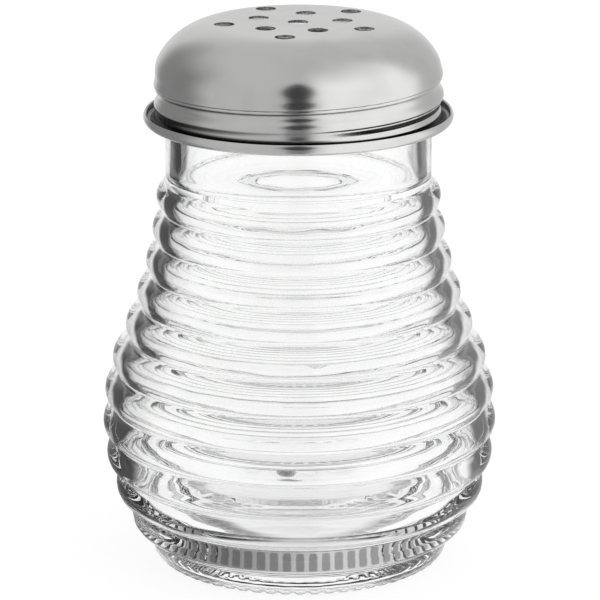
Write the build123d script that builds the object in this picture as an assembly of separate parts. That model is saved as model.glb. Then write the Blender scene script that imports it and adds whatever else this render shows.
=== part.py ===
from build123d import *
import os
from math import cos, radians, sin, sqrt

# Spice shaker: a ribbed glass jar, and a perforated lid of drawn steel sheet over its neck.
# Millimetres, +Z up. The origin is the centre of the ring that the jar stands on.

# Flat rings that make up a round and a tight round, few of them so that the solids stay light
round_flats = 4
tight_flats = 2

# Jar body: the ribs follow a round belly, and above it a hollow waist
body_diameter = 76.2
belly_height = 28.1
belly_curve_radius = 38.1
waist_curve_radius = 90.6
waist_diameter = 53.7
wall_over_ribs = 4.4

# Ribs: equal round rings, each two joined by a groove that is centred outside their line of centres
rib_count = 11
rib_pitch = 6.36
rib_radius = 3.0
groove_offset = 2.08
lowest_rib_height = 8.5

# Foot: a heel as round as the ribs, a narrow flat ring to stand on, and a shallow hollow inside it
heel_diameter = 57.5
standing_ring_width = 1.2
push_up = 0.8
floor_height = 5.5
floor_corner_radius = 5.5

# Neck and lip: the neck is set in from the crests at the waist
neck_step = 1.4
neck_wall = 3.0
neck_foot_radius = 1.0
jar_height = 100.5
lip_outer_radius = 1.4
lip_inner_radius = 0.9

# Lid: one sheet, with a flat crown, a full shoulder, a straight skirt and a curl left open at the top
sheet_thickness = 0.45
lid_height = 19.3
shoulder_radius = 12.9
side_radius = 6.0
side_angle = 31.0
skirt_clearance = 1.4
rim_overhang = 2.3
curl_end_angle = 38.0
seat_clearance = 0.3

# Shaker holes: one in the middle and two staggered rings, punched square to the jar's base
hole_diameter = 3.9
ring_hole_count = 5
inner_ring_radius = 8.5
outer_ring_radius = 14.1
first_hole_angle = 8.0

half_turn = 180.0


def touch_point(centre, radius, towards):
    # where a circle meets the one that touches it on the side of the given centre
    return centre + (towards - centre).normalized() * radius


def go_round(points, centre, end, flats=round_flats):
    # carries an outline on to its next point by equal flats, the short way round the centre
    spoke = points[-1] - centre
    turn = spoke.get_signed_angle(end - centre, Axis.Z.direction)
    points += [centre + spoke.rotate(Axis.Z, turn * flat / flats) for flat in range(1, flats + 1)]


def polar(centre, radius, angle):
    return centre + Vector(cos(radians(angle)), sin(radians(angle))) * radius


# The neck and its lip, and the centres of the belly and waist curves, which touch where they meet
neck_radius = waist_diameter / 2 - neck_step
lip_corner = Vector(neck_radius - lip_outer_radius, jar_height - lip_outer_radius)
belly_centre = Vector(body_diameter / 2 - belly_curve_radius, belly_height)
waist_centre_x = waist_diameter / 2 + waist_curve_radius
centre_span = belly_curve_radius + waist_curve_radius
waist_rise = sqrt(centre_span**2 - (waist_centre_x - belly_centre.X) ** 2)
waist_centre = Vector(waist_centre_x, belly_height + waist_rise)
curve_change = touch_point(belly_centre, belly_curve_radius, waist_centre)


def body_radius(height):
    # radius over the rib crests at a height
    if height < curve_change.Y:
        return belly_centre.X + sqrt(belly_curve_radius**2 - (height - belly_centre.Y) ** 2)
    return waist_centre.X - sqrt(waist_curve_radius**2 - (height - waist_centre.Y) ** 2)


def round_centres():
    # centres of the rounds that stand out from the body: the heel and then the ribs
    centres = [Vector(heel_diameter / 2 - rib_radius, rib_radius)]
    for rib in range(rib_count):
        height = lowest_rib_height + rib * rib_pitch
        centres.append(Vector(body_radius(height) - rib_radius, height))
    return centres


def outer_wall(points):
    centres = round_centres()
    for low, high in zip(centres, centres[1:]):
        line = (high - low).normalized()
        groove = (low + high) / 2 + Vector(line.Y, -line.X) * groove_offset
        go_round(points, low, touch_point(low, rib_radius, groove))
        go_round(points, groove, touch_point(high, rib_radius, groove), tight_flats)
    top = centres[-1]
    foot_x = neck_radius + neck_foot_radius
    foot_rise = sqrt((rib_radius + neck_foot_radius) ** 2 - (foot_x - top.X) ** 2)
    neck_foot = Vector(foot_x, top.Y + foot_rise)
    go_round(points, top, touch_point(top, rib_radius, neck_foot))
    go_round(points, neck_foot, Vector(neck_radius, neck_foot.Y), tight_flats)
    points.append(Vector(neck_radius, lip_corner.Y))
    go_round(points, lip_corner, Vector(lip_corner.X, jar_height), tight_flats)


def inner_wall(points):
    bore = neck_radius - neck_wall
    lip_centre = Vector(bore + lip_inner_radius, jar_height - lip_inner_radius)
    inner_belly = belly_curve_radius - wall_over_ribs
    corner_y = floor_height + floor_corner_radius
    corner_reach = sqrt((inner_belly - floor_corner_radius) ** 2 - (belly_centre.Y - corner_y) ** 2)
    corner = Vector(belly_centre.X + corner_reach, corner_y)
    points.append(Vector(lip_centre.X, jar_height))
    go_round(points, lip_centre, Vector(bore, lip_centre.Y), tight_flats)
    points.append(Vector(bore, waist_centre.Y))
    go_round(points, waist_centre, touch_point(belly_centre, inner_belly, waist_centre))
    go_round(points, belly_centre, touch_point(corner, floor_corner_radius, corner * 2 - belly_centre))
    go_round(points, corner, Vector(corner.X, floor_height))
    points.append(Vector(0, floor_height))


def glass_jar():
    ring_outer = Vector(heel_diameter / 2 - rib_radius, 0)
    ring_inner = ring_outer - Vector(standing_ring_width, 0)
    hollow_radius = (ring_inner.X**2 + push_up**2) / (2 * push_up)
    points = [ring_inner, ring_outer]
    outer_wall(points)
    inner_wall(points)
    points.append(Vector(0, push_up))
    go_round(points, Vector(0, push_up - hollow_radius), ring_inner, tight_flats)
    return revolve(Plane.XZ * make_face(Polyline(*points[1:], close=True)), Axis.Z)


# Lid: the skirt clears the neck, the curl stands out from it, and the shoulder seats on the lip
skirt_radius = neck_radius + skirt_clearance + sheet_thickness
curl_radius = (rim_overhang + sheet_thickness) / 2
side_centre_x = skirt_radius - side_radius
shoulder_offset = polar(Vector(0, 0), side_radius - shoulder_radius, side_angle)
shoulder_x = side_centre_x + shoulder_offset.X
seat_distance = shoulder_radius - sheet_thickness - seat_clearance - lip_outer_radius
seat_drop = sqrt(seat_distance**2 - (lip_corner.X - shoulder_x) ** 2)
shoulder_centre = Vector(shoulder_x, lip_corner.Y - seat_drop)
side_centre = shoulder_centre - shoulder_offset
lid_top = shoulder_centre.Y + shoulder_radius
curl_centre = Vector(skirt_radius + rim_overhang - curl_radius, lid_top - lid_height + curl_radius)


def sheet_face(inset):
    # the sheet's outer face from the middle of the crown to the curl's edge, or one inside it
    curl = curl_radius - sheet_thickness + inset
    points = [Vector(0, lid_top - inset), Vector(shoulder_centre.X, lid_top - inset)]
    go_round(points, shoulder_centre, polar(shoulder_centre, shoulder_radius - inset, side_angle))
    go_round(points, side_centre, Vector(skirt_radius - inset, side_centre.Y), tight_flats)
    points.append(Vector(skirt_radius - inset, curl_centre.Y))
    for angle in (-half_turn / 2, 0, curl_end_angle):
        go_round(points, curl_centre, polar(curl_centre, curl, angle), tight_flats)
    return points


def shaker_holes():
    stagger = half_turn / ring_hole_count
    rings = PolarLocations(inner_ring_radius, ring_hole_count, first_hole_angle).locations
    rings += PolarLocations(outer_ring_radius, ring_hole_count, first_hole_angle + stagger).locations
    punch = Pos(0, 0, lid_top) * Cylinder(hole_diameter / 2, lid_height)
    return [punch] + [spot * punch for spot in rings]


def shaker_lid():
    outline = sheet_face(0) + sheet_face(sheet_thickness)[::-1]
    return revolve(Plane.XZ * make_face(Polyline(*outline, close=True)), Axis.Z) - shaker_holes()


os.makedirs("parts", exist_ok=True)
for name, make in (("glass_jar", glass_jar), ("shaker_lid", shaker_lid)):
    piece = make()
    piece.label = name
    export_step(piece, f"parts/{name}.step")
    box = piece.bounding_box()
    print(name, round(piece.volume, 1), "mm3", tuple(round(n, 2) for n in (*box.min, *box.max)))
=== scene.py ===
import math

import bpy
from mathutils import Matrix, Vector


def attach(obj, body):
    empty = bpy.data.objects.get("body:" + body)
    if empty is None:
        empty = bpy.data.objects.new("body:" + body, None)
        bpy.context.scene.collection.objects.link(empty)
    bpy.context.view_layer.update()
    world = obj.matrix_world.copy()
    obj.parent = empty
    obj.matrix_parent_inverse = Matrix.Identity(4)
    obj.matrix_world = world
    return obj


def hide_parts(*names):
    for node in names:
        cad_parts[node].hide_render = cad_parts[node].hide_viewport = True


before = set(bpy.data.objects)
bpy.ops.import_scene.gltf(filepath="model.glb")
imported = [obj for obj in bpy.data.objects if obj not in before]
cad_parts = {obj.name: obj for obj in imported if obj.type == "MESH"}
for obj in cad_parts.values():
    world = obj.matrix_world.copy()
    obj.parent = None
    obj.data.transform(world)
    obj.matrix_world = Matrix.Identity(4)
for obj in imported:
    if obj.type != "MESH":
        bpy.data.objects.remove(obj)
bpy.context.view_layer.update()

# A ribbed glass shaker and its drawn steel lid, each grown from an outline by Geometry Nodes.
# Lengths in the pieces' dictionaries are millimetres and angles are degrees.

mm = 0.001
hair = 0.01 * mm
sameSpot = 0.001 * mm  # points nearer than this are one point


# Small helpers for node trees

def link(tree, value, socket):
    # a socket is joined, anything else is typed in
    if isinstance(value, bpy.types.NodeSocket):
        tree.links.new(value, socket)
    elif value is not None:
        socket.default_value = value


def addNode(tree, kind, sockets=None, **settings):
    made = tree.nodes.new(kind)
    for name, value in settings.items():
        setattr(made, name, value)
    for name, value in (sockets or {}).items():
        link(tree, value, made.inputs[name])
    return made


def calc(tree, operation, *values, clamp=False):
    made = addNode(tree, "ShaderNodeMath", dict(enumerate(values)), operation=operation, use_clamp=clamp)
    return made.outputs[0]


def plus(tree, first, second):
    return calc(tree, "ADD", first, second)


def minus(tree, first, second):
    return calc(tree, "SUBTRACT", first, second)


def times(tree, first, *others):
    for other in others:
        first = calc(tree, "MULTIPLY", first, other)
    return first


def over(tree, first, second):
    return calc(tree, "DIVIDE", first, second)


def squared(tree, value):
    return calc(tree, "POWER", value, 2)


def hypotenuse(tree, across, up):
    return calc(tree, "SQRT", plus(tree, squared(tree, across), squared(tree, up)))


def onCircle(tree, radius, angle):
    # the two coordinates of a place on a circle
    return times(tree, radius, calc(tree, "COSINE", angle)), times(tree, radius, calc(tree, "SINE", angle))


def smoothStep(tree, value, low, high):
    sockets = {"Value": value, "From Min": low, "From Max": high}
    made = addNode(tree, "ShaderNodeMapRange", sockets, interpolation_type="SMOOTHSTEP")
    return made.outputs["Result"]


def bellCurve(tree, distance, width):
    share = calc(tree, "ABSOLUTE", over(tree, distance, width))
    return calc(tree, "EXPONENT", times(tree, squared(tree, share), -1))


def mixValue(tree, factor, low, high):
    mixed = addNode(tree, "ShaderNodeMix", {"Factor": factor, "A": low, "B": high}, data_type="FLOAT")
    return mixed.outputs["Result"]


def newGeometryTree(name, sizes):
    tree = bpy.data.node_groups.new(name, "GeometryNodeTree")
    tree.interface.new_socket("Geometry", in_out="INPUT", socket_type="NodeSocketGeometry")
    for label, value in sizes.items():
        kind = "NodeSocketInt" if isinstance(value, int) else "NodeSocketFloat"
        tree.interface.new_socket(label, in_out="INPUT", socket_type=kind).default_value = value
    tree.interface.new_socket("Material", in_out="INPUT", socket_type="NodeSocketMaterial")
    tree.interface.new_socket("Geometry", in_out="OUTPUT", socket_type="NodeSocketGeometry")
    return tree, addNode(tree, "NodeGroupInput").outputs


def endTree(tree, geometry, material):
    real = addNode(tree, "GeometryNodeRealizeInstances", {"Geometry": geometry})
    dressed = addNode(tree, "GeometryNodeSetMaterial", {"Geometry": real.outputs[0], "Material": material})
    addNode(tree, "NodeGroupOutput", {"Geometry": dressed.outputs[0]})


def grow(name, outline, tree, sizes, material):
    # the outline's mesh goes through the tree and comes back as a plain mesh with no modifier
    guide = bpy.data.meshes.new(name + "Outline")
    guide.from_pydata([(x, 0, z) for x, z in outline], [(i, i + 1) for i in range(len(outline) - 1)], [])
    piece = bpy.data.objects.new(name, guide)
    bpy.context.scene.collection.objects.link(piece)
    modifier = piece.modifiers.new("Grow", "NODES")
    modifier.node_group = tree
    wanted = dict(sizes, Material=material)
    for socket in tree.interface.items_tree:
        if socket.in_out == "INPUT" and socket.name in wanted:
            modifier[socket.identifier] = wanted[socket.name]
    bpy.context.view_layer.update()
    grown = piece.evaluated_get(bpy.context.evaluated_depsgraph_get())
    mesh = bpy.data.meshes.new_from_object(grown)
    piece.modifiers.clear()
    piece.data = mesh
    mesh.name = name
    print(name, len(mesh.vertices), "points,", sum(len(p.vertices) - 2 for p in mesh.polygons), "triangles")
    return piece


# Outlines, in the plane of radius and height

def touchPoint(centre, radius, towards):
    return centre + (towards - centre).normalized() * radius


def goRound(outline, centre, end, steps):
    # on to the next point the short way round the centre
    spoke = outline[-1] - centre
    reach = end - centre
    turn = math.atan2(spoke.x * reach.y - spoke.y * reach.x, spoke.dot(reach))
    for step in range(1, steps + 1):
        outline.append(centre + Matrix.Rotation(turn * step / steps, 2) @ spoke)


def goStraight(outline, end, steps):
    start = outline[-1]
    outline += [start.lerp(end, step / steps) for step in range(1, steps + 1)]


# Turning an outline into a ring-shaped skin

def ringAround(tree, outlineMesh, rows, columns):
    # a grid whose rows follow the outline and whose columns go round the axis
    across = plus(tree, columns, 1)
    grid = addNode(tree, "GeometryNodeMeshGrid", {"Vertices X": rows, "Vertices Y": across})
    index = addNode(tree, "GeometryNodeInputIndex").outputs[0]
    row = calc(tree, "FLOOR", over(tree, plus(tree, index, 0.5), across))
    column = minus(tree, index, times(tree, row, across))
    angle = times(tree, over(tree, column, columns), math.tau)
    place = addNode(tree, "GeometryNodeInputPosition").outputs[0]
    sample = addNode(tree, "GeometryNodeSampleIndex", {"Geometry": outlineMesh, "Index": row},
                     data_type="FLOAT_VECTOR", domain="POINT", clamp=True)
    link(tree, place, sample.inputs["Value"])
    point = addNode(tree, "ShaderNodeSeparateXYZ", {0: sample.outputs[0]})
    return grid.outputs["Mesh"], point.outputs["X"], point.outputs["Z"], angle, row


def closeRing(tree, mesh, radius, height, angle):
    x, y = onCircle(tree, radius, angle)
    place = addNode(tree, "ShaderNodeCombineXYZ", {"X": x, "Y": y, "Z": height})
    shaped = addNode(tree, "GeometryNodeSetPosition", {"Geometry": mesh, "Position": place.outputs[0]})
    merged = addNode(tree, "GeometryNodeMergeByDistance", {
        "Geometry": shaped.outputs[0], "Distance": sameSpot})
    return merged.outputs[0]


# The thread, which the jar carries as a ridge and the lid as a rolled wave.
# Start, end and fade are counted in turns.
thread = {
    "lead": 4.23, "valleyHeight": 89.8, "start": -0.25, "end": 1.53, "fade": 0.14,
    "ridge": 1.3, "ridgeWidth": 1.1, "ridgeRise": 2.1, "ridgeFrom": 87.0,
    "ridgeStart": 0.05, "ridgeEnd": 1.4,
    "wave": 0.42, "crease": 0.16, "creaseWidth": 0.16, "creaseRise": 1.4,
    "skirtFrom": 88.2, "skirtFull": 89.4,
}


def helixTurns(tree, height, angle, size):
    # how many leads a place lies above the turn just below it, and how far along the helix that turn is
    turns = over(tree, minus(tree, height, size["Thread Height"]), size["Thread Lead"])
    around = over(tree, angle, math.tau)
    above = minus(tree, turns, around)
    turn = calc(tree, "FLOOR", above)
    return minus(tree, above, turn), plus(tree, turn, around)


def helixPresence(tree, along, size):
    # a thread runs in and out softly at its two ends
    start, end, fade = size["Thread Start"], size["Thread End"], size["Thread Fade"]
    rise = smoothStep(tree, along, start, plus(tree, start, fade))
    fall = smoothStep(tree, along, end, minus(tree, end, fade))
    return times(tree, rise, fall)


# The jar
jar = {
    # body, ribs, foot, neck and lip
    "bodyDiameter": 76.2, "bellyHeight": 28.1, "bellyCurve": 38.1,
    "waistDiameter": 53.7, "waistCurve": 90.6,
    "ribCount": 11, "ribPitch": 6.36, "ribRadius": 3.0, "crestRadius": 3.55, "grooveOffset": 2.08,
    "lowestRib": 8.5, "heelDiameter": 57.5, "ringWidth": 1.2, "pushUp": 0.8,
    "neckDiameter": 50.9, "neckFoot": 1.0, "height": 100.5, "lipOuter": 1.4, "lipInner": 0.9,
    # inside, with the soft ripple that follows the ribs
    "bore": 44.9, "wallOverRibs": 4.4, "floorHeight": 5.5, "floorCorner": 5.5,
    "ripple": 0.7, "rippleDrop": 0.2, "rippleFoot": 11.0, "rippleTop": 79.0, "rippleFade": 5.0,
    "wander": 0.12, "wanderSize": 15.0, "calmMiddle": 10.0, "seed": 4,
    "swell": 0.4, "swellHeight": 78.5, "swellRise": 4.0, "swellReach": 30.0, "swellBearing": 270.0,
    # knurl of the ring that it stands on
    "knurlBars": 60, "knurlDepth": 0.45, "knurlSharpness": 3.0, "knurlInner": 23.0, "knurlOuter": 28.6,
    "knurlTop": 3.0, "knurlFade": 1.0,
    # fineness of the mesh, and where on the neck it gets finer for the thread
    "columns": 300, "rowsPerRib": 16, "rowsToGroove": 5, "fineNeckFrom": 87.5,
    "rows": {
        "hollow": 7, "ring": 3, "heel": 8, "heelGroove": 5, "crest": 4,
        "topRib": 5, "neckFoot": 4, "neck": 4, "thread": 16, "lipOuter": 5, "lipTop": 1, "lipInner": 4,
        "bore": 8, "waist": 40, "belly": 46, "corner": 7, "floor": 4,
    },
}


def bodyCurves():
    # centres of the belly's curve and the waist's, which touch where they meet
    bellyCentre = Vector((jar["bodyDiameter"] / 2 - jar["bellyCurve"], jar["bellyHeight"]))
    waistX = jar["waistDiameter"] / 2 + jar["waistCurve"]
    rise = math.sqrt((jar["bellyCurve"] + jar["waistCurve"]) ** 2 - (waistX - bellyCentre.x) ** 2)
    return bellyCentre, Vector((waistX, bellyCentre.y + rise))


def ribCentre(number):
    bellyCentre, waistCentre = bodyCurves()
    height = jar["lowestRib"] + number * jar["ribPitch"]
    change = touchPoint(bellyCentre, jar["bellyCurve"], waistCentre)
    if height < change.y:
        radius = bellyCentre.x + math.sqrt(jar["bellyCurve"] ** 2 - (height - bellyCentre.y) ** 2)
    else:
        radius = waistCentre.x - math.sqrt(jar["waistCurve"] ** 2 - (height - waistCentre.y) ** 2)
    return Vector((radius - jar["ribRadius"], height))


def footOutline():
    # from the middle of the hollow foot up to the crest of the lowest rib
    rows = jar["rows"]
    ringOuter = Vector((jar["heelDiameter"] / 2 - jar["ribRadius"], 0))
    ringInner = ringOuter - Vector((jar["ringWidth"], 0))
    hollow = (ringInner.x ** 2 + jar["pushUp"] ** 2) / (2 * jar["pushUp"])
    heel = Vector((ringOuter.x, jar["ribRadius"]))
    firstRib = ribCentre(0)
    line = (firstRib - heel).normalized()
    groove = (heel + firstRib) / 2 + Vector((line.y, -line.x)) * jar["grooveOffset"]
    outline = [Vector((0, jar["pushUp"]))]
    goRound(outline, Vector((0, jar["pushUp"] - hollow)), ringInner, rows["hollow"])
    goStraight(outline, ringOuter, rows["ring"])
    goRound(outline, heel, touchPoint(heel, jar["ribRadius"], groove), rows["heel"])
    goRound(outline, groove, touchPoint(firstRib, jar["ribRadius"], groove), rows["heelGroove"])
    goRound(outline, firstRib, firstRib + Vector((jar["ribRadius"], 0)), rows["crest"])
    return outline


def addNeckOutline(outline):
    # from the crest of the top rib up to the lip's top
    rows = jar["rows"]
    topRib = ribCentre(jar["ribCount"] - 1)
    neck = jar["neckDiameter"] / 2
    footX = neck + jar["neckFoot"]
    footRise = math.sqrt((jar["ribRadius"] + jar["neckFoot"]) ** 2 - (footX - topRib.x) ** 2)
    neckFoot = Vector((footX, topRib.y + footRise))
    lip = Vector((neck - jar["lipOuter"], jar["height"] - jar["lipOuter"]))
    outline[-1] = topRib + Vector((jar["ribRadius"], 0))
    goRound(outline, topRib, touchPoint(topRib, jar["ribRadius"], neckFoot), rows["topRib"])
    goRound(outline, neckFoot, Vector((neck, neckFoot.y)), rows["neckFoot"])
    goStraight(outline, Vector((neck, jar["fineNeckFrom"])), rows["neck"])
    goStraight(outline, Vector((neck, lip.y)), rows["thread"])
    goRound(outline, lip, Vector((lip.x, jar["height"])), rows["lipOuter"])


def addInnerOutline(outline):
    # from the lip's inner edge down to the middle of the floor
    rows = jar["rows"]
    bore = jar["bore"] / 2
    bellyCentre, waistCentre = bodyCurves()
    innerBelly = jar["bellyCurve"] - jar["wallOverRibs"]
    cornerY = jar["floorHeight"] + jar["floorCorner"]
    reach = math.sqrt((innerBelly - jar["floorCorner"]) ** 2 - (bellyCentre.y - cornerY) ** 2)
    corner = Vector((bellyCentre.x + reach, cornerY))
    cornerTop = touchPoint(corner, jar["floorCorner"], corner * 2 - bellyCentre)
    goStraight(outline, Vector((bore, waistCentre.y)), rows["bore"])
    goRound(outline, waistCentre, touchPoint(bellyCentre, innerBelly, waistCentre), rows["waist"])
    goRound(outline, bellyCentre, cornerTop, rows["belly"])
    goRound(outline, corner, Vector((corner.x, jar["floorHeight"])), rows["corner"])
    goStraight(outline, Vector((0, jar["floorHeight"])), rows["floor"])


def jarOutline():
    # up the outside, over the lip and down the inside
    outline = footOutline()
    firstRibRow = len(outline) - 1
    # the tree works out the rib rows, so only their number counts here
    outline += [outline[-1]] * (jar["rowsPerRib"] * (jar["ribCount"] - 1))
    addNeckOutline(outline)
    innerLip = Vector((jar["bore"] / 2 + jar["lipInner"], jar["height"] - jar["lipInner"]))
    goStraight(outline, Vector((innerLip.x, jar["height"])), jar["rows"]["lipTop"])
    goRound(outline, innerLip, Vector((jar["bore"] / 2, innerLip.y)), jar["rows"]["lipInner"])
    lipRow = len(outline) - 1
    addInnerOutline(outline)
    return [point * mm for point in outline], firstRibRow, lipRow


def jarSizes(outline, firstRibRow, lipRow):
    # inputs of the jar's tree: whole counts, then shares and radians, then lengths that become metres
    bellyCentre, waistCentre = bodyCurves()
    change = touchPoint(bellyCentre, jar["bellyCurve"], waistCentre)
    counts = {
        "Rows": len(outline), "Columns": jar["columns"], "Rib Count": jar["ribCount"],
        "First Rib Row": firstRibRow, "Rows Per Rib": jar["rowsPerRib"],
        "Rows To Groove": jar["rowsToGroove"], "Lip Row": lipRow,
        "Knurl Bars": jar["knurlBars"], "Seed": jar["seed"],
    }
    shares = {
        "Knurl Sharpness": jar["knurlSharpness"], "Ripple Drop": jar["rippleDrop"],
        "Swell Reach": math.radians(jar["swellReach"]), "Swell Bearing": math.radians(jar["swellBearing"]),
        "Thread Start": thread["ridgeStart"], "Thread End": thread["ridgeEnd"],
        "Thread Fade": thread["fade"],
    }
    lengths = {
        "Rib Pitch": jar["ribPitch"], "Rib Radius": jar["crestRadius"],
        "Groove Offset": jar["grooveOffset"], "Lowest Rib": jar["lowestRib"],
        "Belly Height": bellyCentre.y, "Belly Curve": jar["bellyCurve"],
        "Waist Height": waistCentre.y, "Waist Centre": waistCentre.x, "Waist Curve": jar["waistCurve"],
        "Curve Change": change.y, "Neck Radius": jar["neckDiameter"] / 2,
        "Knurl Depth": jar["knurlDepth"], "Knurl Inner": jar["knurlInner"],
        "Knurl Outer": jar["knurlOuter"], "Knurl Top": jar["knurlTop"], "Knurl Fade": jar["knurlFade"],
        "Thread Lead": thread["lead"], "Thread Height": thread["valleyHeight"] + thread["ridgeRise"],
        "Thread Ridge": thread["ridge"], "Thread Width": thread["ridgeWidth"],
        "Thread Foot": thread["ridgeFrom"],
        "Wander": jar["wander"], "Wander Size": jar["wanderSize"], "Calm Middle": jar["calmMiddle"],
        "Ripple": jar["ripple"], "Ripple Foot": jar["rippleFoot"], "Ripple Top": jar["rippleTop"],
        "Ripple Fade": jar["rippleFade"],
        "Swell": jar["swell"], "Swell Height": jar["swellHeight"], "Swell Rise": jar["swellRise"],
    }
    return {**counts, **shares, **{label: length * mm for label, length in lengths.items()}}


def bodyRadiusAt(tree, height, size):
    # radius over the crests: the belly's circle below the change, the waist's above it
    def depth(curve, middle):
        above = minus(tree, height, middle)
        return calc(tree, "SQRT", minus(tree, squared(tree, curve), squared(tree, above)))

    belly = depth(size["Belly Curve"], size["Belly Height"])
    waist = minus(tree, size["Waist Centre"], depth(size["Waist Curve"], size["Waist Height"]))
    return mixValue(tree, calc(tree, "GREATER_THAN", height, size["Curve Change"]), belly, waist)


def ribRows(tree, size):
    # places of the outline's points from the lowest crest to the highest: rib, groove, rib, by index
    index = addNode(tree, "GeometryNodeInputIndex").outputs[0]
    along = over(tree, minus(tree, index, size["First Rib Row"]), size["Rows Per Rib"])
    rib = calc(tree, "FLOOR", plus(tree, along, 1e-4))  # raised a little, so that rounding loses no crest
    part = minus(tree, along, rib)
    share = over(tree, size["Rows To Groove"], size["Rows Per Rib"])
    rest = minus(tree, 1, share)

    # centres of the rib below, the rib above and the groove between them
    offset = size["Groove Offset"]
    lowZ = plus(tree, size["Lowest Rib"], times(tree, rib, size["Rib Pitch"]))
    highZ = plus(tree, lowZ, size["Rib Pitch"])
    lowX = minus(tree, bodyRadiusAt(tree, lowZ, size), size["Rib Radius"])
    highX = minus(tree, bodyRadiusAt(tree, highZ, size), size["Rib Radius"])
    stepX = minus(tree, highX, lowX)
    span = hypotenuse(tree, stepX, size["Rib Pitch"])
    grooveRadius = minus(tree, hypotenuse(tree, times(tree, span, 0.5), offset), size["Rib Radius"])
    middleX = times(tree, plus(tree, lowX, highX), 0.5)
    middleZ = times(tree, plus(tree, lowZ, highZ), 0.5)
    grooveX = plus(tree, middleX, times(tree, over(tree, size["Rib Pitch"], span), offset))
    grooveZ = minus(tree, middleZ, times(tree, over(tree, stepX, span), offset))

    def bearing(x, z):
        return calc(tree, "ARCTAN2", minus(tree, grooveZ, z), minus(tree, grooveX, x))

    def through(start, end):
        return calc(tree, "DIVIDE", minus(tree, part, start), minus(tree, end, start), clamp=True)

    lowBearing = bearing(lowX, lowZ)
    highBearing = bearing(highX, highZ)
    swing = minus(tree, highBearing, lowBearing)
    lowAngle = times(tree, lowBearing, through(0, share))
    grooveAngle = plus(tree, plus(tree, lowBearing, math.pi), times(tree, swing, through(share, rest)))
    highAngle = times(tree, highBearing, minus(tree, 1, through(rest, 1)))
    inGroove = calc(tree, "GREATER_THAN", part, share)
    onHigh = calc(tree, "GREATER_THAN", part, rest)

    def pick(low, groove, high):
        return mixValue(tree, onHigh, mixValue(tree, inGroove, low, groove), high)

    radius = pick(size["Rib Radius"], grooveRadius, size["Rib Radius"])
    out, up = onCircle(tree, radius, pick(lowAngle, grooveAngle, highAngle))
    x = plus(tree, pick(lowX, grooveX, highX), out)
    z = plus(tree, pick(lowZ, grooveZ, highZ), up)
    place = addNode(tree, "ShaderNodeCombineXYZ", {"X": x, "Z": z}).outputs[0]
    rows = times(tree, size["Rows Per Rib"], minus(tree, size["Rib Count"], 1))
    lastRow = plus(tree, size["First Rib Row"], rows)
    chosen = times(tree, calc(tree, "GREATER_THAN", index, size["First Rib Row"]),
                   calc(tree, "LESS_THAN", index, lastRow))
    moved = addNode(tree, "GeometryNodeSetPosition",
                    {"Geometry": size["Geometry"], "Selection": chosen, "Position": place})
    return moved.outputs[0]


def knurlHeight(tree, radius, height, angle, size):
    # clear notches between the bars of the ring that the jar stands on
    fade = size["Knurl Fade"]
    inside = smoothStep(tree, radius, size["Knurl Inner"], plus(tree, size["Knurl Inner"], fade))
    outside = smoothStep(tree, radius, size["Knurl Outer"], minus(tree, size["Knurl Outer"], fade))
    low = smoothStep(tree, height, size["Knurl Top"], minus(tree, size["Knurl Top"], fade))
    bars = calc(tree, "COSINE", times(tree, angle, size["Knurl Bars"]))
    bars = calc(tree, "POWER", minus(tree, 0.5, times(tree, bars, 0.5)), size["Knurl Sharpness"])
    bars = times(tree, bars, size["Knurl Depth"])
    return times(tree, times(tree, inside, outside), times(tree, low, bars))


def neckRidge(tree, radius, height, angle, size):
    # the glass thread under the lid
    part, along = helixTurns(tree, height, angle, size)
    nearest = calc(tree, "ROUND", part)
    distance = times(tree, minus(tree, part, nearest), size["Thread Lead"])
    present = helixPresence(tree, plus(tree, along, nearest), size)
    ridge = smoothStep(tree, calc(tree, "ABSOLUTE", distance), size["Thread Width"], 0)
    onNeck = calc(tree, "GREATER_THAN", radius, minus(tree, size["Neck Radius"], hair))
    onNeck = times(tree, onNeck, calc(tree, "GREATER_THAN", height, size["Thread Foot"]))
    return times(tree, times(tree, ridge, present), times(tree, onNeck, size["Thread Ridge"]))


def innerWander(tree, radius, height, angle, size):
    # the inner wall is pressed less evenly than the outer one
    x, y = onCircle(tree, radius, angle)
    place = addNode(tree, "ShaderNodeCombineXYZ", {"X": x, "Y": y, "Z": height}).outputs[0]
    scaled = addNode(tree, "ShaderNodeVectorMath", {0: place, "Scale": over(tree, 1, size["Wander Size"])},
                     operation="SCALE")
    noise = addNode(tree, "ShaderNodeTexNoise", {
        "Vector": scaled.outputs[0], "W": size["Seed"], "Scale": 1.0, "Detail": 1.0}, noise_dimensions="4D")
    wander = times(tree, minus(tree, noise.outputs[0], 0.5), times(tree, size["Wander"], 2))
    return times(tree, wander, smoothStep(tree, radius, 0, size["Calm Middle"]))


def innerRipple(tree, height, size):
    # the inner wall follows the ribs in softer waves that lie a little lower
    foot, top, fade = size["Ripple Foot"], size["Ripple Top"], size["Ripple Fade"]
    past = over(tree, minus(tree, height, size["Lowest Rib"]), size["Rib Pitch"])
    waves = calc(tree, "COSINE", times(tree, plus(tree, past, size["Ripple Drop"]), math.tau))
    begun = smoothStep(tree, height, foot, plus(tree, foot, fade))
    ended = smoothStep(tree, height, top, minus(tree, top, fade))
    return times(tree, times(tree, waves, size["Ripple"]), times(tree, begun, ended))


def neckSwell(tree, height, angle, size):
    # the wall swells inwards at the foot of the neck's front, where the glass was pressed last
    swell = bellCurve(tree, minus(tree, height, size["Swell Height"]), size["Swell Rise"])
    facing = bellCurve(tree, minus(tree, angle, size["Swell Bearing"]), size["Swell Reach"])
    return times(tree, times(tree, swell, facing), size["Swell"])


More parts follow.
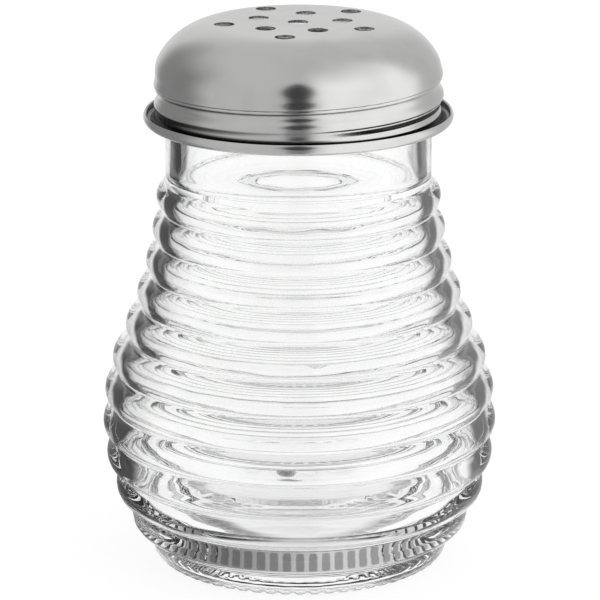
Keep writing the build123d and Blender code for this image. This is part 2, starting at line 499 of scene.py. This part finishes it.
def buildJar(material):
    outline, firstRibRow, lipRow = jarOutline()
    sizes = jarSizes(outline, firstRibRow, lipRow)
    tree, size = newGeometryTree("ribbedJar", sizes)
    ribbed = ribRows(tree, size)
    mesh, radius, height, angle, row = ringAround(tree, ribbed, size["Rows"], size["Columns"])
    height = plus(tree, height, knurlHeight(tree, radius, height, angle, size))
    radius = plus(tree, radius, neckRidge(tree, radius, height, angle, size))
    within = calc(tree, "GREATER_THAN", row, size["Lip Row"])
    radius = plus(tree, radius, times(tree, innerWander(tree, radius, height, angle, size), within))
    radius = plus(tree, radius, times(tree, innerRipple(tree, height, size), within))
    radius = minus(tree, radius, times(tree, neckSwell(tree, height, angle, size), within))
    closed = closeRing(tree, mesh, radius, height, angle)
    # the outline runs up the outside, so the grid's faces look inwards until they are flipped
    flipped = addNode(tree, "GeometryNodeFlipFaces", {"Mesh": closed}).outputs[0]
    smooth = addNode(tree, "GeometryNodeSetShadeSmooth", {0: flipped})
    endTree(tree, smooth.outputs[0], size["Material"])
    piece = grow("ribbedGlassJar", outline, tree, sizes, material)
    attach(piece, "jar")
    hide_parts("glass_jar")


# The lid
lid = {
    "sheet": 0.45, "height": 19.3, "shoulder": 12.9, "side": 6.0, "sideAngle": 31.0, "curlEnd": 38.0,
    "skirtDiameter": 54.6, "rimDiameter": 59.2, "seat": 0.3, "plainAboveCurl": 0.4, "curlStandsOff": 0.3,
    "holeDiameter": 3.9, "ringHoles": 5, "innerRing": 8.5, "outerRing": 14.1, "firstHole": 8.0,
    # fineness of the mesh, and the sharpest edge that is shaded soft
    "columns": 320, "holeSides": 64, "softEdge": 38.0,
    "rows": {"crown": 4, "shoulder": 18, "side": 5, "outerSkirt": 90, "innerSkirt": 24, "aboveCurl": 1,
             "curlQuarter": 6, "curlRest": 4},
}


def lidOutline():
    # one closed section of the sheet: outer face from the crown to the curl's edge, inner face back
    sheet = lid["sheet"]
    rows = lid["rows"]
    skirt = lid["skirtDiameter"] / 2
    curl = (lid["rimDiameter"] / 2 - skirt + sheet) / 2
    angle = math.radians(lid["sideAngle"])
    unit = Vector((math.cos(angle), math.sin(angle)))
    shoulderX = skirt - lid["side"] + (lid["side"] - lid["shoulder"]) * unit.x
    lip = Vector((jar["neckDiameter"] / 2 - jar["lipOuter"], jar["height"] - jar["lipOuter"]))
    seat = lid["shoulder"] - sheet - lid["seat"] - jar["lipOuter"]
    shoulder = Vector((shoulderX, lip.y - math.sqrt(seat ** 2 - (lip.x - shoulderX) ** 2)))
    side = shoulder + unit * (lid["shoulder"] - lid["side"])
    top = shoulder.y + lid["shoulder"]
    curlCentre = Vector((lid["rimDiameter"] / 2 - curl, top - lid["height"] + curl))

    def face(inset, skirtRows):
        points = [Vector((0, top - inset))]
        goStraight(points, Vector((shoulder.x, top - inset)), rows["crown"])
        goRound(points, shoulder, shoulder + unit * (lid["shoulder"] - inset), rows["shoulder"])
        goRound(points, side, Vector((skirt - inset, side.y)), rows["side"])
        goStraight(points, Vector((skirt - inset, curlCentre.y + lid["plainAboveCurl"])), skirtRows)
        goStraight(points, Vector((skirt - inset, curlCentre.y)), rows["aboveCurl"])
        reach = Vector((curl - sheet + inset, 0))
        quarter, last = rows["curlQuarter"], rows["curlRest"]
        for turn, steps in ((-90, quarter), (0, quarter), (lid["curlEnd"], last)):
            goRound(points, curlCentre, curlCentre + Matrix.Rotation(math.radians(turn), 2) @ reach, steps)
        return points

    outline = face(0, rows["outerSkirt"]) + face(sheet, rows["innerSkirt"])[::-1]
    return [point * mm for point in outline], top, curlCentre * mm


def lidSizes(outline, top):
    # inputs of the lid's tree
    counts = {
        "Rows": len(outline), "Columns": lid["columns"], "Ring Holes": lid["ringHoles"],
        "Hole Sides": lid["holeSides"],
    }
    shares = {
        "First Hole": math.radians(lid["firstHole"]), "Soft Edge": math.radians(lid["softEdge"]),
        "Thread Start": thread["start"], "Thread End": thread["end"], "Thread Fade": thread["fade"],
    }
    lengths = {
        "Top": top, "Hole Radius": lid["holeDiameter"] / 2,
        "Inner Ring": lid["innerRing"], "Outer Ring": lid["outerRing"],
        "Punch Depth": lid["height"], "Plain Radius": lid["skirtDiameter"] / 2 + lid["curlStandsOff"],
        "Skirt From": thread["skirtFrom"], "Skirt Full": thread["skirtFull"],
        "Thread Lead": thread["lead"], "Thread Height": thread["valleyHeight"],
        "Thread Wave": thread["wave"], "Crease": thread["crease"],
        "Crease Width": thread["creaseWidth"], "Crease Rise": thread["creaseRise"],
    }
    return {**counts, **shares, **{label: length * mm for label, length in lengths.items()}}


def skirtDent(tree, radius, height, angle, size):
    # the thread rolled into both faces of the skirt: a wave with a fine crease above each valley
    part, along = helixTurns(tree, height, angle, size)
    present = helixPresence(tree, along, size)
    presentAbove = helixPresence(tree, plus(tree, along, 1), size)
    shared = mixValue(tree, smoothStep(tree, part, 0, 1), present, presentAbove)
    wave = times(tree, calc(tree, "COSINE", times(tree, part, math.tau)), size["Thread Wave"], shared)
    aboveValley = times(tree, part, size["Thread Lead"])
    crease = bellCurve(tree, minus(tree, aboveValley, size["Crease Rise"]), size["Crease Width"])
    crease = times(tree, crease, present, size["Crease"])
    onSkirt = smoothStep(tree, height, size["Skirt From"], size["Skirt Full"])
    notCurl = calc(tree, "LESS_THAN", radius, size["Plain Radius"])
    return times(tree, plus(tree, wave, crease), times(tree, onSkirt, notCurl))


def punchedSheet(tree, sheet, size):
    # one hole in the middle and two staggered rings of them
    punch = addNode(tree, "GeometryNodeMeshCylinder", {
        "Vertices": size["Hole Sides"], "Radius": size["Hole Radius"], "Depth": size["Punch Depth"]})
    halfStep = over(tree, math.pi, size["Ring Holes"])
    rings = [(addNode(tree, "GeometryNodePoints", {"Count": 1}), 0)]
    for radius, turn in ((size["Inner Ring"], size["First Hole"]),
                         (size["Outer Ring"], plus(tree, size["First Hole"], halfStep))):
        circle = addNode(tree, "GeometryNodeMeshCircle", {"Vertices": size["Ring Holes"], "Radius": radius})
        rings.append((circle, turn))
    joined = addNode(tree, "GeometryNodeJoinGeometry")
    for points, turn in rings:
        spots = addNode(tree, "GeometryNodeInstanceOnPoints",
                        {"Points": points.outputs[0], "Instance": punch.outputs["Mesh"]})
        turned = addNode(tree, "ShaderNodeCombineXYZ", {"Z": turn})
        lift = addNode(tree, "ShaderNodeCombineXYZ", {"Z": size["Top"]})
        placed = addNode(tree, "GeometryNodeTransform", {
            "Geometry": spots.outputs[0], "Translation": lift.outputs[0], "Rotation": turned.outputs[0]})
        tree.links.new(placed.outputs[0], joined.inputs[0])
    tools = addNode(tree, "GeometryNodeRealizeInstances", {"Geometry": joined.outputs[0]})
    cut = addNode(tree, "GeometryNodeMeshBoolean", {"Mesh 1": sheet, "Mesh 2": tools.outputs[0]},
                  operation="DIFFERENCE")
    if "MANIFOLD" in [item.identifier for item in cut.bl_rna.properties["solver"].enum_items]:
        cut.solver = "MANIFOLD"
    return cut.outputs[0]


def buildLid(outline, top, material):
    sizes = lidSizes(outline, top)
    tree, size = newGeometryTree("shakerLid", sizes)
    mesh, radius, height, angle, _ = ringAround(tree, size["Geometry"], size["Rows"], size["Columns"])
    radius = minus(tree, radius, skirtDent(tree, radius, height, angle, size))
    closed = closeRing(tree, mesh, radius, height, angle)
    smooth = addNode(tree, "GeometryNodeSetShadeSmooth", {0: closed}).outputs[0]
    punched = punchedSheet(tree, smooth, size)
    edgeAngle = addNode(tree, "GeometryNodeInputMeshEdgeAngle").outputs[0]
    soft = calc(tree, "LESS_THAN", edgeAngle, size["Soft Edge"])
    shaded = addNode(tree, "GeometryNodeSetShadeSmooth", {0: punched, "Shade Smooth": soft}, domain="EDGE")
    faces = addNode(tree, "GeometryNodeSetShadeSmooth", {0: shaded.outputs[0]}, domain="FACE")
    endTree(tree, faces.outputs[0], size["Material"])
    piece = grow("domedSteelLid", outline, tree, sizes, material)
    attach(piece, "lid")
    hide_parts("shaker_lid")


# Effects that both materials use

def newShaderGroup(name, inputs, outputs):
    group = bpy.data.node_groups.new(name, "ShaderNodeTree")
    for label, value in inputs.items():
        kind = "NodeSocketVector" if value is None else "NodeSocketFloat"
        socket = group.interface.new_socket(label, in_out="INPUT", socket_type=kind)
        if value is not None:
            socket.default_value = value
    for label in outputs:
        group.interface.new_socket(label, in_out="OUTPUT", socket_type="NodeSocketFloat")
    return group, addNode(group, "NodeGroupInput").outputs


def makeSpunGrain():
    # fine rings round the axis, as spinning, polishing or a turned mould leaves them
    inputs = {"Vector": None, "Around": 3.0, "Fineness": 2500.0, "Seed": 0.0}
    group, given = newShaderGroup("spunGrain", inputs, ["Grain"])
    place = addNode(group, "ShaderNodeSeparateXYZ", {0: given["Vector"]}).outputs
    radius = hypotenuse(group, place["X"], place["Y"])
    safe = calc(group, "MAXIMUM", radius, hair)
    across = addNode(group, "ShaderNodeCombineXYZ", {
        "X": times(group, over(group, place["X"], safe), given["Around"]),
        "Y": times(group, over(group, place["Y"], safe), given["Around"]),
        "Z": times(group, radius, given["Fineness"])}).outputs[0]
    up = plus(group, times(group, place["Z"], given["Fineness"]), given["Seed"])
    noise = addNode(group, "ShaderNodeTexNoise", {"Vector": across, "W": up, "Scale": 1.0, "Detail": 2.0},
                    noise_dimensions="4D")
    addNode(group, "NodeGroupOutput", {"Grain": noise.outputs[0]})
    return group


# each effect's size input, the noise where it starts and is full, and the noise's detail
wear = {"Smudges": ("Smudge Size", 0.42, 0.66, 4.0), "Marks": ("Mark Size", 0.62, 0.74, 2.0)}


def makeHandling():
    # soft smudges and small marks, left by hands and cloths
    inputs = {"Vector": None, "Smudge Size": 0.012, "Mark Size": 0.0012, "Seed": 0.0}
    group, given = newShaderGroup("handling", inputs, ["Smudges", "Marks"])
    found = {}
    for label, (size, low, high, detail) in wear.items():
        noise = addNode(group, "ShaderNodeTexNoise", {
            "Vector": given["Vector"], "W": given["Seed"], "Scale": over(group, 1, given[size]),
            "Detail": detail}, noise_dimensions="4D")
        found[label] = smoothStep(group, noise.outputs[0], low, high)
    addNode(group, "NodeGroupOutput", found)
    return group


def placeGroup(tree, group, sockets):
    return addNode(tree, "ShaderNodeGroup", sockets, node_tree=group).outputs


def objectPlace(tree):
    return addNode(tree, "ShaderNodeTexCoord").outputs["Object"]


def mixTint(tree, factor, low, high):
    mixed = addNode(tree, "ShaderNodeMix", {"Factor": factor}, data_type="RGBA")
    for name, value in (("A", low), ("B", high)):
        socket = [item for item in mixed.inputs if item.name == name and item.type == "RGBA"][0]
        link(tree, value, socket)
    return [item for item in mixed.outputs if item.type == "RGBA"][0]


def newMaterial(name):
    material = bpy.data.materials.new(name)
    material.use_nodes = True
    tree = material.node_tree
    tree.nodes.clear()
    return material, tree


# Looks, with lengths in metres
glassLook = {
    "tint": (0.998, 0.999, 0.998, 1), "thickTint": (0.990, 0.995, 0.992, 1), "ior": 1.51,
    # padShade is painted shade: the dark tint of the foot's pads where the jar stands
    "padShade": (0.22, 0.22, 0.22, 1), "padTop": 0.00030,
    "roughness": 0.0, "smudgedRoughness": 0.01, "smudgeSize": 0.016, "markSize": 0.0009, "smudgeSeed": 3.0,
    "waveSize": 0.0065, "waveDepth": 0.00004,
    "mouldDepth": 0.00000005, "mouldFineness": 1300.0, "mouldAround": 2.0, "mouldSeed": 8.0,
}
steelLook = {
    "colour": (0.60, 0.60, 0.595, 1), "smudged": (0.555, 0.555, 0.55, 1),
    # curlShade is painted shade: the dark colour inside the rolled curl
    "curlShade": (0.13, 0.13, 0.13, 1), "curlInside": 0.0010, "curlEdge": 0.0013,
    "roughness": 0.15, "dullRoughness": 0.22, "markRoughness": 0.05,
    "smudgeSize": 0.009, "markSize": 0.0006, "smudgeSeed": 1.0,
    "grainDepth": 0.0000035, "grainFineness": 5200.0, "grainAround": 2.5, "grainSeed": 2.0,
}


def makeGlass(spunGrain, handling):
    look = glassLook
    material, tree = newMaterial("clearGlass")
    place = objectPlace(tree)
    shader = addNode(tree, "ShaderNodeBsdfPrincipled", {"Transmission Weight": 1.0, "IOR": look["ior"]})
    touched = placeGroup(tree, handling, {
        "Vector": place, "Smudge Size": look["smudgeSize"], "Mark Size": look["markSize"],
        "Seed": look["smudgeSeed"]})
    rings = placeGroup(tree, spunGrain, {
        "Vector": place, "Around": look["mouldAround"], "Fineness": look["mouldFineness"],
        "Seed": look["mouldSeed"]})
    wave = addNode(tree, "ShaderNodeTexNoise", {
        "Vector": place, "Scale": 1 / look["waveSize"], "Detail": 1.0})
    waved = addNode(tree, "ShaderNodeBump", {
        "Height": wave.outputs[0], "Strength": 1.0, "Distance": look["waveDepth"]})
    marked = addNode(tree, "ShaderNodeBump", {
        "Height": rings["Grain"], "Strength": 1.0, "Distance": look["mouldDepth"],
        "Normal": waved.outputs[0]})
    clear = mixTint(tree, wave.outputs[0], look["tint"], look["thickTint"])
    # painted shade: the knurled pads of the foot are tinted dark for the contact shade where they stand,
    # the notches between them stay clear
    low = addNode(tree, "ShaderNodeSeparateXYZ", {0: place}).outputs["Z"]
    pads = smoothStep(tree, low, look["padTop"], look["padTop"] / 2)
    link(tree, mixTint(tree, pads, clear, look["padShade"]), shader.inputs["Base Color"])
    rough = mixValue(tree, touched["Smudges"], look["roughness"], look["smudgedRoughness"])
    link(tree, rough, shader.inputs["Roughness"])
    link(tree, marked.outputs[0], shader.inputs["Normal"])
    addNode(tree, "ShaderNodeOutputMaterial", {"Surface": shader.outputs[0]})
    return material


def makeSteel(spunGrain, handling, curlCentre):
    look = steelLook
    material, tree = newMaterial("satinSteel")
    place = objectPlace(tree)
    shader = addNode(tree, "ShaderNodeBsdfPrincipled", {"Metallic": 1.0})
    touched = placeGroup(tree, handling, {
        "Vector": place, "Smudge Size": look["smudgeSize"], "Mark Size": look["markSize"],
        "Seed": look["smudgeSeed"]})
    rings = placeGroup(tree, spunGrain, {
        "Vector": place, "Around": look["grainAround"], "Fineness": look["grainFineness"],
        "Seed": look["grainSeed"]})
    polished = mixTint(tree, touched["Smudges"], look["colour"], look["smudged"])
    # painted shade: the curl's inside is coloured dark for the shade that falls in the rolled rim
    axis = addNode(tree, "ShaderNodeSeparateXYZ", {0: place}).outputs
    out = minus(tree, hypotenuse(tree, axis["X"], axis["Y"]), curlCentre.x)
    fromCurl = hypotenuse(tree, out, minus(tree, axis["Z"], curlCentre.y))
    shadeInCurl = smoothStep(tree, fromCurl, look["curlEdge"], look["curlInside"])
    link(tree, mixTint(tree, shadeInCurl, polished, look["curlShade"]), shader.inputs["Base Color"])
    rough = mixValue(tree, rings["Grain"], look["roughness"], look["dullRoughness"])
    rough = plus(tree, rough, times(tree, touched["Marks"], look["markRoughness"]))
    link(tree, rough, shader.inputs["Roughness"])
    bump = addNode(tree, "ShaderNodeBump", {
        "Height": rings["Grain"], "Strength": 1.0, "Distance": look["grainDepth"]})
    link(tree, bump.outputs[0], shader.inputs["Normal"])
    addNode(tree, "ShaderNodeOutputMaterial", {"Surface": shader.outputs[0]})
    return material


# The studio is white to the eye, and has grey flags and a bright right side that only glass and metal show.
# Each panel is a tone, then its left, right, lower and upper edge: an angle and its softness in degrees.
studio = {
    "room": 1.0, "front": 0.18, "frontAside": (50, 30), "frontClimb": (-10, 0),
    "ceiling": 0.18, "ceilingClimb": (30, 44),
    "glassPanels": {
        "leftStrip": (0.05, (-66, 13), (-23, 4), (-20, 10), (48, 13)),
        "rightStrip": (0.13, (24, 4), (51, 6), (-12, 8), (34, 12)),
        "leftFlag": (0.02, (-52, 3), (-28, 2), (-17, 4), (-3, 2)),
        "rightFlag": (0.08, (28, 2), (46, 3), (-17, 4), (-3, 2)),
    },
    "metalRoom": 0.74,
    "metalPanels": {
        "left": (0.32, (-95, 15), (-30, 12), (-90, 5), (38, 20)),
        "behind": (0.84, (-24, 6), (17, 6), (-90, 5), (34, 14)),
        "farRight": (0.68, (22, 6), (52, 8), (-90, 5), (30, 14)),
        "right": (1.32, (71, 12), (166, 8), (-90, 5), (56, 22)),
    },
    "stand": 0.30, "standAside": (12, 6), "standClimb": (8, 0),
    "lens": 0.04, "lensClimb": 20, "lensWide": 13, "lensTall": 30, "lensEdge": (1.15, 0.85),
}


def makeStudioTone():
    # brightness of the surroundings in a direction, for what metal mirrors and for what glass lets through
    group, given = newShaderGroup("studioTone", {"Vector": None, "Mirrored": 0.0}, ["Tone"])
    unit = addNode(group, "ShaderNodeVectorMath", {0: given["Vector"]}, operation="NORMALIZE").outputs[0]
    place = addNode(group, "ShaderNodeSeparateXYZ", {0: unit}).outputs
    bearing = times(group, calc(group, "ARCTAN2", place["X"], place["Y"]), math.degrees(1))
    climb = times(group, calc(group, "ARCSINE", place["Z"]), math.degrees(1))
    aside = minus(group, 180, calc(group, "ABSOLUTE", bearing))

    def addPanels(tone, panels):
        for value, left, right, lower, upper in panels.values():
            mask = 1
            sides = ((bearing, left, right), (climb, lower, upper))
            for measure, (low, lowSoft), (high, highSoft) in sides:
                started = smoothStep(group, measure, low - lowSoft, low + lowSoft)
                ended = smoothStep(group, measure, high + highSoft, high - highSoft)
                mask = times(group, mask, times(group, started, ended))
            tone = mixValue(group, mask, tone, value)
        return tone

    def corner(asideEdge, climbEdge):
        return times(group, smoothStep(group, aside, *asideEdge), smoothStep(group, climb, *climbEdge))

    facing = corner(studio["frontAside"], studio["frontClimb"])
    through = mixValue(group, facing, studio["room"], studio["front"])
    through = mixValue(group, smoothStep(group, climb, *studio["ceilingClimb"]), through, studio["ceiling"])
    through = addPanels(through, studio["glassPanels"])

    # the metal also mirrors the camera's lens and its stand
    metal = addPanels(studio["metalRoom"], studio["metalPanels"])
    metal = mixValue(group, corner(studio["standAside"], studio["standClimb"]), metal, studio["stand"])
    up = over(group, minus(group, climb, studio["lensClimb"]), studio["lensTall"])
    fromLens = hypotenuse(group, over(group, aside, studio["lensWide"]), calc(group, "ABSOLUTE", up))
    metal = mixValue(group, smoothStep(group, fromLens, *studio["lensEdge"]), metal, studio["lens"])
    addNode(group, "NodeGroupOutput", {"Tone": mixValue(group, given["Mirrored"], through, metal)})
    return group


def makeWorld(studioTone):
    world = bpy.data.worlds.new("studio")
    bpy.context.scene.world = world
    world.use_nodes = True
    tree = world.node_tree
    tree.nodes.clear()
    path = addNode(tree, "ShaderNodeLightPath").outputs
    direction = addNode(tree, "ShaderNodeTexCoord").outputs["Generated"]
    tone = placeGroup(tree, studioTone, {
        "Vector": direction, "Mirrored": path["Is Reflection Ray"]})["Tone"]
    room = addNode(tree, "ShaderNodeBackground", {"Color": tone, "Strength": 1.0})
    white = addNode(tree, "ShaderNodeBackground", {"Color": (1, 1, 1, 1), "Strength": 1.0})
    mixed = addNode(tree, "ShaderNodeMixShader", {
        0: path["Is Camera Ray"], 1: room.outputs[0], 2: white.outputs[0]})
    addNode(tree, "ShaderNodeOutputWorld", {"Surface": mixed.outputs[0]})


# The floor, with lengths in metres. Glass and metal see it in the studio's tones, as from the jar's middle.
floorLook = {
    "half": 6.0, "jarMiddle": 0.05,
    "colour": (0.8, 0.8, 0.8, 1), "faint": (0.16, 0.16, 0.16, 1), "glow": 0.9,
    # the jar's own shade, deepest under the front left of its foot
    "underJar": 0.85, "shade": (0.028, 0.034), "ring": (0.017, 0.020), "ringFront": (-0.006, -0.013),
    "ringLeft": 0.22, "ringRight": 0.60, "ringAcross": (-0.016, 0.008),
}


def makeFloor(studioTone):
    look = floorLook
    half = look["half"]
    mesh = bpy.data.meshes.new("floor")
    corners = [(-half, -half, 0), (half, -half, 0), (half, half, 0), (-half, half, 0)]
    mesh.from_pydata(corners, [], [(0, 1, 2, 3)])
    floor = bpy.data.objects.new("floor", mesh)
    bpy.context.scene.collection.objects.link(floor)
    material, tree = newMaterial("paleFloor")
    path = addNode(tree, "ShaderNodeLightPath").outputs
    place = objectPlace(tree)
    middle = (0, 0, -look["jarMiddle"])
    seenFrom = addNode(tree, "ShaderNodeVectorMath", {0: place, 1: middle}, operation="ADD").outputs[0]
    tone = placeGroup(tree, studioTone, {
        "Vector": seenFrom, "Mirrored": path["Is Reflection Ray"]})["Tone"]
    away = addNode(tree, "ShaderNodeVectorMath", {0: place}, operation="LENGTH").outputs["Value"]
    spot = addNode(tree, "ShaderNodeSeparateXYZ", {0: place}).outputs
    across = smoothStep(tree, spot["X"], *look["ringAcross"])
    ringTone = mixValue(tree, across, look["ringLeft"], look["ringRight"])
    front = smoothStep(tree, spot["Y"], *look["ringFront"])
    onRing = times(tree, smoothStep(tree, away, *look["ring"]), front)
    under = mixValue(tree, onRing, look["underJar"], ringTone)
    tone = mixValue(tree, smoothStep(tree, away, *look["shade"]), under, tone)
    plain = addNode(tree, "ShaderNodeBsdfDiffuse", {"Color": look["colour"]})
    faint = addNode(tree, "ShaderNodeBsdfDiffuse", {"Color": look["faint"]})
    glow = addNode(tree, "ShaderNodeEmission", {"Color": (1, 1, 1, 1), "Strength": look["glow"]})
    white = addNode(tree, "ShaderNodeAddShader", {0: faint.outputs[0], 1: glow.outputs[0]})
    toned = addNode(tree, "ShaderNodeEmission", {"Color": tone, "Strength": 1.0})
    seen = calc(tree, "MAXIMUM", path["Is Glossy Ray"], path["Is Transmission Ray"])
    mixed = addNode(tree, "ShaderNodeMixShader", {0: seen, 1: plain.outputs[0], 2: toned.outputs[0]})
    shown = addNode(tree, "ShaderNodeMixShader", {
        0: path["Is Camera Ray"], 1: mixed.outputs[0], 2: white.outputs[0]})
    addNode(tree, "ShaderNodeOutputMaterial", {"Surface": shown.outputs[0]})
    mesh.materials.append(material)


# Lamp and camera, with lengths in metres but the camera's lens and sensor in millimetres
lamp = {"place": (0.35, -0.15, 1.3), "aim": (0, 0, 0.06), "size": 2.0, "power": 2.0}
view = {"place": (0, -0.750, 0.26087), "down": 15.639, "roll": -0.2, "lens": 241.95, "sensor": 36,
        "shift": 1.0 / 600}  # one pixel of a frame 600 wide


def makeLamp():
    data = bpy.data.lights.new("softTop", "AREA")
    data.shape = "DISK"
    data.size = lamp["size"]
    data.energy = lamp["power"]
    light = bpy.data.objects.new("softTop", data)
    bpy.context.scene.collection.objects.link(light)
    light.visible_glossy = False
    aim = (Vector(lamp["aim"]) - Vector(lamp["place"])).to_track_quat("-Z", "Y")
    light.matrix_world = Matrix.Translation(lamp["place"]) @ aim.to_matrix().to_4x4()


def makeCamera():
    data = bpy.data.cameras.new("camera")
    data.lens = view["lens"]
    data.sensor_width = view["sensor"]
    data.shift_x = view["shift"]
    camera = bpy.data.objects.new("camera", data)
    bpy.context.scene.collection.objects.link(camera)
    camera.matrix_world = (Matrix.Translation(view["place"])
                           @ Matrix.Rotation(math.radians(90 - view["down"]), 4, "X")
                           @ Matrix.Rotation(math.radians(view["roll"]), 4, "Z"))
    bpy.context.scene.camera = camera


spunGrain = makeSpunGrain()
handling = makeHandling()
print("effects are ready")
buildJar(makeGlass(spunGrain, handling))
print("the jar is pressed")
lidPoints, lidTop, curlCentre = lidOutline()
buildLid(lidPoints, lidTop, makeSteel(spunGrain, handling, curlCentre))
print("the lid is drawn and punched")
studioTone = makeStudioTone()
makeWorld(studioTone)
makeFloor(studioTone)
makeLamp()
makeCamera()
print("studio, floor, lamp and camera are set")
bpy.context.scene.view_settings.view_transform = "Standard"
